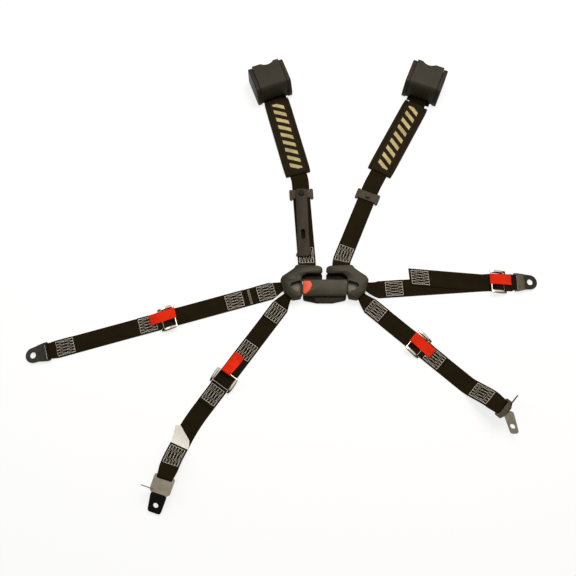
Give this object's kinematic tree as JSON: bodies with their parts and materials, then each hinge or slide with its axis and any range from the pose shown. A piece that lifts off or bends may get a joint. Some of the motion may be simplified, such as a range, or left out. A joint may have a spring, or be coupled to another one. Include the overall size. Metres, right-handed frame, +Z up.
{
  "type": "racing harness",
  "caption": "Racing harness laid flat: shoulder straps with pads and retractors, yoke buckle with push button, lap and crotch straps with tilt-lock adjusters and anchors.",
  "frame": {"origin": "underside of the buckle, below the middle of its body", "axes": "+X to the wearer's left as laid out and to the right in the picture, +Y from the buckle toward the retractors, +Z up from the floor"},
  "size_m": [1.4073, 1.3086, 0.07],
  "materials": {
    "buckle_base": "moulded, fine grain",
    "buckle_cover": "moulded, fine grain",
    "release_button": "semi-gloss",
    "latch_lever": "satin",
    "latch_pin": "satin",
    "latch_spring": "satin",
    "left_yoke_plate": "satin",
    "left_yoke_cover": "moulded, fine grain",
    "left_yoke_rear_cover": "moulded, fine grain",
    "left_shoulder_strap": "woven webbing, matt",
    "left_chest_slider": "moulded, fine grain",
    "chest_link": "moulded, fine grain",
    "chest_link_pin": "satin",
    "left_shoulder_pad": "padded cloth, matt",
    "left_retractor_frame": "satin",
    "left_retractor_cover": "moulded, fine grain",
    "left_retractor_lock_side_cap": "moulded, fine grain",
    "left_retractor_spring_side_cap": "moulded, fine grain",
    "left_retractor_spool": "moulded, fine grain",
    "left_webbing_roll": "woven webbing, matt",
    "left_lock_pawl": "satin",
    "right_yoke_plate": "satin",
    "right_yoke_cover": "moulded, fine grain",
    "right_yoke_rear_cover": "moulded, fine grain",
    "right_shoulder_strap": "woven webbing, matt",
    "right_chest_slider": "moulded, fine grain",
    "right_shoulder_pad": "padded cloth, matt",
    "right_retractor_frame": "satin",
    "right_retractor_cover": "moulded, fine grain",
    "right_retractor_lock_side_cap": "moulded, fine grain",
    "right_retractor_spring_side_cap": "moulded, fine grain",
    "right_retractor_spool": "moulded, fine grain",
    "right_webbing_roll": "woven webbing, matt",
    "right_lock_pawl": "satin",
    "left_lap_strap": "woven webbing, matt",
    "left_lap_anchor_strap": "woven webbing, matt",
    "left_lap_adjuster_frame": "bright",
    "left_lap_lock_bar": "bright",
    "left_lap_pull_tab": "woven ribbon, matt",
    "left_lap_anchor_plate": "dark, satin",
    "right_lap_strap": "woven webbing, matt",
    "right_lap_anchor_strap": "woven webbing, matt",
    "right_lap_adjuster_frame": "bright",
    "right_lap_lock_bar": "bright",
    "right_lap_pull_tab": "woven ribbon, matt",
    "right_lap_anchor_plate": "dark, satin",
    "left_crotch_strap": "woven webbing, matt",
    "left_crotch_anchor_strap": "woven webbing, matt",
    "left_crotch_adjuster_frame": "bright",
    "left_crotch_lock_bar": "bright",
    "left_crotch_pull_tab": "woven ribbon, matt",
    "left_crotch_bracket": "dark, satin",
    "right_crotch_strap": "woven webbing, matt",
    "right_crotch_anchor_strap": "woven webbing, matt",
    "right_crotch_adjuster_frame": "bright",
    "right_crotch_lock_bar": "bright",
    "right_crotch_pull_tab": "woven ribbon, matt",
    "right_crotch_bracket": "dark, satin"
  },
  "bodies": {
    "right_half": {"buckle_base": "buckle_base", "buckle_cover": "buckle_cover", "latch_pin": "latch_pin", "latch_spring": "latch_spring", "right_yoke_plate": "right_yoke_plate", "right_yoke_cover": "right_yoke_cover", "right_yoke_rear_cover": "right_yoke_rear_cover", "right_shoulder_strap": "right_shoulder_strap", "right_retractor_frame": "right_retractor_frame", "right_retractor_cover": "right_retractor_cover", "right_retractor_lock_side_cap": "right_retractor_lock_side_cap", "right_retractor_spring_side_cap": "right_retractor_spring_side_cap", "right_lap_strap": "right_lap_strap", "right_lap_anchor_strap": "right_lap_anchor_strap", "right_crotch_strap": "right_crotch_strap", "right_crotch_anchor_strap": "right_crotch_anchor_strap"},
    "left_half": {"left_yoke_plate": "left_yoke_plate", "left_yoke_cover": "left_yoke_cover", "left_yoke_rear_cover": "left_yoke_rear_cover", "left_shoulder_strap": "left_shoulder_strap", "left_retractor_frame": "left_retractor_frame", "left_retractor_cover": "left_retractor_cover", "left_retractor_lock_side_cap": "left_retractor_lock_side_cap", "left_retractor_spring_side_cap": "left_retractor_spring_side_cap", "left_lap_strap": "left_lap_strap", "left_lap_anchor_strap": "left_lap_anchor_strap", "left_crotch_strap": "left_crotch_strap", "left_crotch_anchor_strap": "left_crotch_anchor_strap"},
    "release_button": {"release_button": "release_button"},
    "latch_lever": {"latch_lever": "latch_lever"},
    "left_chest_slider": {"left_chest_slider": "left_chest_slider", "chest_link_pin": "chest_link_pin"},
    "chest_link": {"chest_link": "chest_link"},
    "right_chest_slider": {"right_chest_slider": "right_chest_slider"},
    "left_shoulder_pad": {"left_shoulder_pad": "left_shoulder_pad"},
    "left_spool": {"left_retractor_spool": "left_retractor_spool", "left_webbing_roll": "left_webbing_roll"},
    "left_lock_pawl": {"left_lock_pawl": "left_lock_pawl"},
    "right_shoulder_pad": {"right_shoulder_pad": "right_shoulder_pad"},
    "right_spool": {"right_retractor_spool": "right_retractor_spool", "right_webbing_roll": "right_webbing_roll"},
    "right_lock_pawl": {"right_lock_pawl": "right_lock_pawl"},
    "left_lap_adjuster": {"left_lap_adjuster_frame": "left_lap_adjuster_frame", "left_lap_lock_bar": "left_lap_lock_bar"},
    "left_lap_pull_tab": {"left_lap_pull_tab": "left_lap_pull_tab"},
    "left_lap_anchor_plate": {"left_lap_anchor_plate": "left_lap_anchor_plate"},
    "right_lap_adjuster": {"right_lap_adjuster_frame": "right_lap_adjuster_frame", "right_lap_lock_bar": "right_lap_lock_bar"},
    "right_lap_pull_tab": {"right_lap_pull_tab": "right_lap_pull_tab"},
    "right_lap_anchor_plate": {"right_lap_anchor_plate": "right_lap_anchor_plate"},
    "left_crotch_adjuster": {"left_crotch_adjuster_frame": "left_crotch_adjuster_frame", "left_crotch_lock_bar": "left_crotch_lock_bar"},
    "left_crotch_pull_tab": {"left_crotch_pull_tab": "left_crotch_pull_tab"},
    "left_crotch_bracket": {"left_crotch_bracket": "left_crotch_bracket"},
    "right_crotch_adjuster": {"right_crotch_adjuster_frame": "right_crotch_adjuster_frame", "right_crotch_lock_bar": "right_crotch_lock_bar"},
    "right_crotch_pull_tab": {"right_crotch_pull_tab": "right_crotch_pull_tab"},
    "right_crotch_bracket": {"right_crotch_bracket": "right_crotch_bracket"}
  },
  "joints": [
    {"name": "tongue_release", "type": "slide", "parent": "right_half", "child": "left_half", "axis": [-1, 0, 0], "range_m": [0, 0.07]},
    {"name": "button_press", "type": "slide", "parent": "right_half", "child": "release_button", "axis": [0, 0, -1], "range_m": [0, 0.0025], "stiffness_N_per_m": 800},
    {"name": "latch_tip", "type": "hinge", "parent": "right_half", "child": "latch_lever", "pos_m": [-0.018, 0, 0.0194], "axis": [0, -1, 0], "range_deg": [0, 6], "deforming": ["latch_spring"]},
    {"name": "left_chest_slide", "type": "slide", "parent": "left_half", "child": "left_chest_slider", "axis": [-0.0698, 0.9976, 0], "range_m": [-0.006, 0.018]},
    {"name": "chest_link_swing", "type": "hinge", "parent": "left_chest_slider", "child": "chest_link", "pos_m": [-0.06258, 0.2915, 0], "axis": [0, 0, 1], "range_deg": [0, 70]},
    {"name": "right_chest_slide", "type": "slide", "parent": "right_half", "child": "right_chest_slider", "axis": [0.3746, 0.9272, 0], "range_m": [-0.1, 0.006]},
    {"name": "left_pad_slide", "type": "slide", "parent": "left_half", "child": "left_shoulder_pad", "axis": [-0.2588, 0.9659, 0], "range_m": [-0.015, 0.002]},
    {"name": "left_spool_turn", "type": "hinge", "parent": "left_half", "child": "left_spool", "pos_m": [-0.15485, 0.64779, 0.034], "axis": [0.9397, 0.342, 0], "continuous": true},
    {"name": "left_pawl_tip", "type": "hinge", "parent": "left_half", "child": "left_lock_pawl", "pos_m": [-0.16443, 0.67411, 0.02], "axis": [-0.9397, -0.342, 0], "range_deg": [0, 12]},
    {"name": "right_pad_slide", "type": "slide", "parent": "right_half", "child": "right_shoulder_pad", "axis": [0.4695, 0.8829, 0], "range_m": [-0.03, 0.006]},
    {"name": "right_spool_turn", "type": "hinge", "parent": "right_half", "child": "right_spool", "pos_m": [0.30929, 0.64473, 0.034], "axis": [0.9298, -0.3681, 0], "continuous": true},
    {"name": "right_pawl_tip", "type": "hinge", "parent": "right_half", "child": "right_lock_pawl", "pos_m": [0.3196, 0.67077, 0.02], "axis": [-0.9298, 0.3681, 0], "range_deg": [0, 12]},
    {"name": "left_lap_adjuster_tilt", "type": "hinge", "parent": "left_half", "child": "left_lap_adjuster", "pos_m": [-0.45079, -0.08841, 0.0038], "axis": [0.2756, -0.9613, 0], "range_deg": [0, 36], "deforming": ["left_lap_strap"]},
    {"name": "left_lap_tab_lift", "type": "hinge", "parent": "left_lap_adjuster", "child": "left_lap_pull_tab", "pos_m": [-0.41176, -0.07722, 0.01595], "axis": [0.2756, -0.9613, 0], "range_deg": [-90, 0]},
    {"name": "left_lap_anchor_pivot", "type": "hinge", "parent": "left_half", "child": "left_lap_anchor_plate", "pos_m": [-0.7507, -0.17441, 0.00515], "axis": [-0.2756, 0.9613, 0], "range_deg": [0, 60]},
    {"name": "right_lap_adjuster_tilt", "type": "hinge", "parent": "right_half", "child": "right_lap_adjuster", "pos_m": [0.50502, 0.02287, 0.0038], "axis": [0, 1, 0], "range_deg": [0, 36], "deforming": ["right_lap_strap"]},
    {"name": "right_lap_tab_lift", "type": "hinge", "parent": "right_lap_adjuster", "child": "right_lap_pull_tab", "pos_m": [0.46442, 0.02287, 0.01595], "axis": [0, 1, 0], "range_deg": [-90, 0]},
    {"name": "right_lap_anchor_pivot", "type": "hinge", "parent": "right_half", "child": "right_lap_anchor_plate", "pos_m": [0.53102, 0.02287, 0.00515], "axis": [0, -1, 0], "range_deg": [0, 60]},
    {"name": "left_crotch_adjuster_tilt", "type": "hinge", "parent": "left_half", "child": "left_crotch_adjuster", "pos_m": [-0.28456, -0.26999, 0.0038], "axis": [0.809, -0.5878, 0], "range_deg": [0, 36], "deforming": ["left_crotch_strap"]},
    {"name": "left_crotch_tab_lift", "type": "hinge", "parent": "left_crotch_adjuster", "child": "left_crotch_pull_tab", "pos_m": [-0.2607, -0.23714, 0.01595], "axis": [0.809, -0.5878, 0], "range_deg": [0, 20]},
    {"name": "left_crotch_anchor_pivot", "type": "hinge", "parent": "left_half", "child": "left_crotch_bracket", "pos_m": [-0.41513, -0.50977, 0.03004], "axis": [-0.9511, 0.309, 0], "range_deg": [0, 45]},
    {"name": "right_crotch_adjuster_tilt", "type": "hinge", "parent": "right_half", "child": "right_crotch_adjuster", "pos_m": [0.26827, -0.16906, 0.0038], "axis": [0.6561, 0.7547, 0], "range_deg": [0, 36], "deforming": ["right_crotch_strap"]},
    {"name": "right_crotch_tab_lift", "type": "hinge", "parent": "right_crotch_adjuster", "child": "right_crotch_pull_tab", "pos_m": [0.23763, -0.14242, 0.01595], "axis": [0.6561, 0.7547, 0], "range_deg": [-90, 0]},
    {"name": "right_crotch_anchor_pivot", "type": "hinge", "parent": "right_half", "child": "right_crotch_bracket", "pos_m": [0.45468, -0.3311, 0.04431], "axis": [-0.6561, -0.7547, 0], "range_deg": [0, 45]}
  ],
  "couplings": [
    {"joint": "latch_tip", "follows": "button_press", "rad_per_m": 40},
    {"joint": "left_lap_tab_lift", "follows": "left_lap_adjuster_tilt", "ratio": -2.4},
    {"joint": "right_lap_tab_lift", "follows": "right_lap_adjuster_tilt", "ratio": -2.4},
    {"joint": "left_crotch_tab_lift", "follows": "left_crotch_adjuster_tilt", "ratio": 0.5},
    {"joint": "right_crotch_tab_lift", "follows": "right_crotch_adjuster_tilt", "ratio": -2.4}
  ]
}
